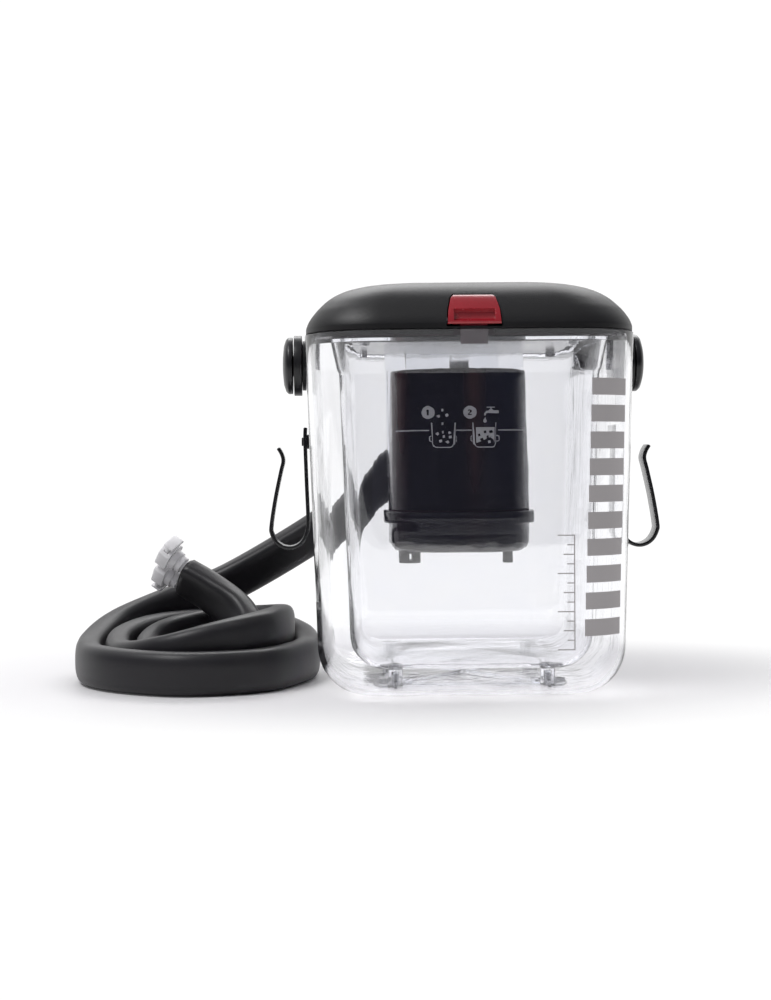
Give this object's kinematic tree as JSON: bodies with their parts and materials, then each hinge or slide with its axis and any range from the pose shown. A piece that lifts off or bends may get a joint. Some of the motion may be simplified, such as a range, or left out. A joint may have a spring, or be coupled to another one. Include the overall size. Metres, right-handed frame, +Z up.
{
  "type": "hot cold therapy machine",
  "caption": "Clear double-walled water tub with a hinged domed lid, sprung latch, carry handle, hanging pump and a twin hose with quick couplings.",
  "frame": {"origin": "middle of the machine's outline on the floor, measured without the hose and what is on it", "axes": "+Z up, the latch and the front face -Y, +X to the right seen from the front"},
  "size_m": [0.3352, 0.2095, 0.2242],
  "materials": {
    "clear_shell": "clear moulded plastic, polished",
    "clear_liner": "clear moulded plastic, polished",
    "clear_parts": "clear moulded plastic",
    "foot_rubber": "matt",
    "seal_rubber": "soft, matt",
    "grip_rubber": "soft, matt",
    "screw_steel": "plated",
    "pin_steel": "ground",
    "spring_steel": "drawn wire",
    "motor_steel": "drawn can",
    "black_screw": "blackened",
    "lid_black": "fine grain",
    "pan_black": "smooth",
    "fitting_black": "smooth",
    "handle_black": "fine grain",
    "clip_black": "smooth",
    "latch_red": "smooth",
    "pump_gloss": "polished",
    "bearing_brass": "sintered",
    "impeller_white": "moulded",
    "volute_grey": "moulded",
    "board_green": "lacquered",
    "tube_clear": "soft clear tube",
    "lead_red": "wire insulation",
    "hose_foam": "woven-look foam sleeve",
    "coupling_white": "natural moulded plastic",
    "tab_white": "natural moulded plastic"
  },
  "bodies": {
    "tub": {"outer_shell": "clear_shell", "inner_liner": "clear_liner", "base_posts": "clear_parts", "pump_hanger": "clear_parts", "base_feet": "foot_rubber", "base_screws": "screw_steel", "pivot_screws": "screw_steel", "clip_screws": "black_screw", "hinge_leaf_tub": "clear_parts", "hinge_pin": "pin_steel", "pivot_bushings": "fitting_black", "hub_cap_left": "handle_black", "hub_cap_right": "handle_black", "hose_clip_left": "clip_black", "hose_clip_right": "clip_black", "pump_cover": "pump_gloss", "pump_base": "pump_gloss", "pump_inlet": "pump_gloss", "pump_foot": "pump_gloss", "pump_seal": "seal_rubber", "motor_can": "motor_steel", "bearing_upper": "bearing_brass", "bearing_lower": "bearing_brass", "volute": "volute_grey", "circuit_board": "board_green", "supply_tube": "tube_clear", "return_tube": "tube_clear", "pump_leads": "lead_red", "hose_gland": "fitting_black", "gland_nut": "fitting_black", "hose_elbow": "fitting_black", "power_inlet": "fitting_black", "inlet_nut": "pin_steel", "hose": "hose_foam", "hose_end_cap": "fitting_black", "coupling_body_1": "coupling_white", "coupling_body_2": "coupling_white", "coupling_seals": "seal_rubber"},
    "lid": {"lid_cover": "lid_black", "lid_pan": "pan_black", "lid_gasket": "seal_rubber", "lid_screws": "screw_steel", "hinge_leaf_lid": "lid_black", "latch_pin": "pin_steel", "latch_spring": "spring_steel"},
    "latch": {"latch_button": "latch_red"},
    "handle": {"handle_bail": "handle_black", "handle_grip": "grip_rubber"},
    "rotor": {"impeller": "impeller_white", "motor_shaft": "pin_steel"},
    "tab_1": {"thumb_tab_1": "tab_white"},
    "tab_2": {"thumb_tab_2": "tab_white"}
  },
  "joints": [
    {"name": "lid_hinge", "type": "hinge", "parent": "tub", "child": "lid", "pos_m": [0, 0.0822, 0.2025], "axis": [-1, 0, 0], "range_deg": [0, 95]},
    {"name": "latch_pivot", "type": "hinge", "parent": "lid", "child": "latch", "pos_m": [0, -0.0893, 0.1996], "axis": [1, 0, 0], "range_deg": [0, 8], "stiffness_Nm_per_rad": 0.06, "springref_deg": -11.46},
    {"name": "handle_pivot", "type": "hinge", "parent": "tub", "child": "handle", "pos_m": [0, -0.0098, 0.181], "axis": [1, 0, 0], "range_deg": [0, 164]},
    {"name": "impeller_spin", "type": "hinge", "parent": "tub", "child": "rotor", "pos_m": [0, 0.0212, 0.086], "axis": [0, 0, 1], "continuous": true},
    {"name": "thumb_tab_1_slide", "type": "slide", "parent": "tub", "child": "tab_1", "axis": [-0.3588, 0.6455, -0.6742], "range_m": [0, 0.0015], "stiffness_N_per_m": 600, "springref_m": -0.001},
    {"name": "thumb_tab_2_slide", "type": "slide", "parent": "tub", "child": "tab_2", "axis": [0.275, -0.6225, 0.7327], "range_m": [0, 0.0015], "stiffness_N_per_m": 600, "springref_m": -0.001}
  ]
}
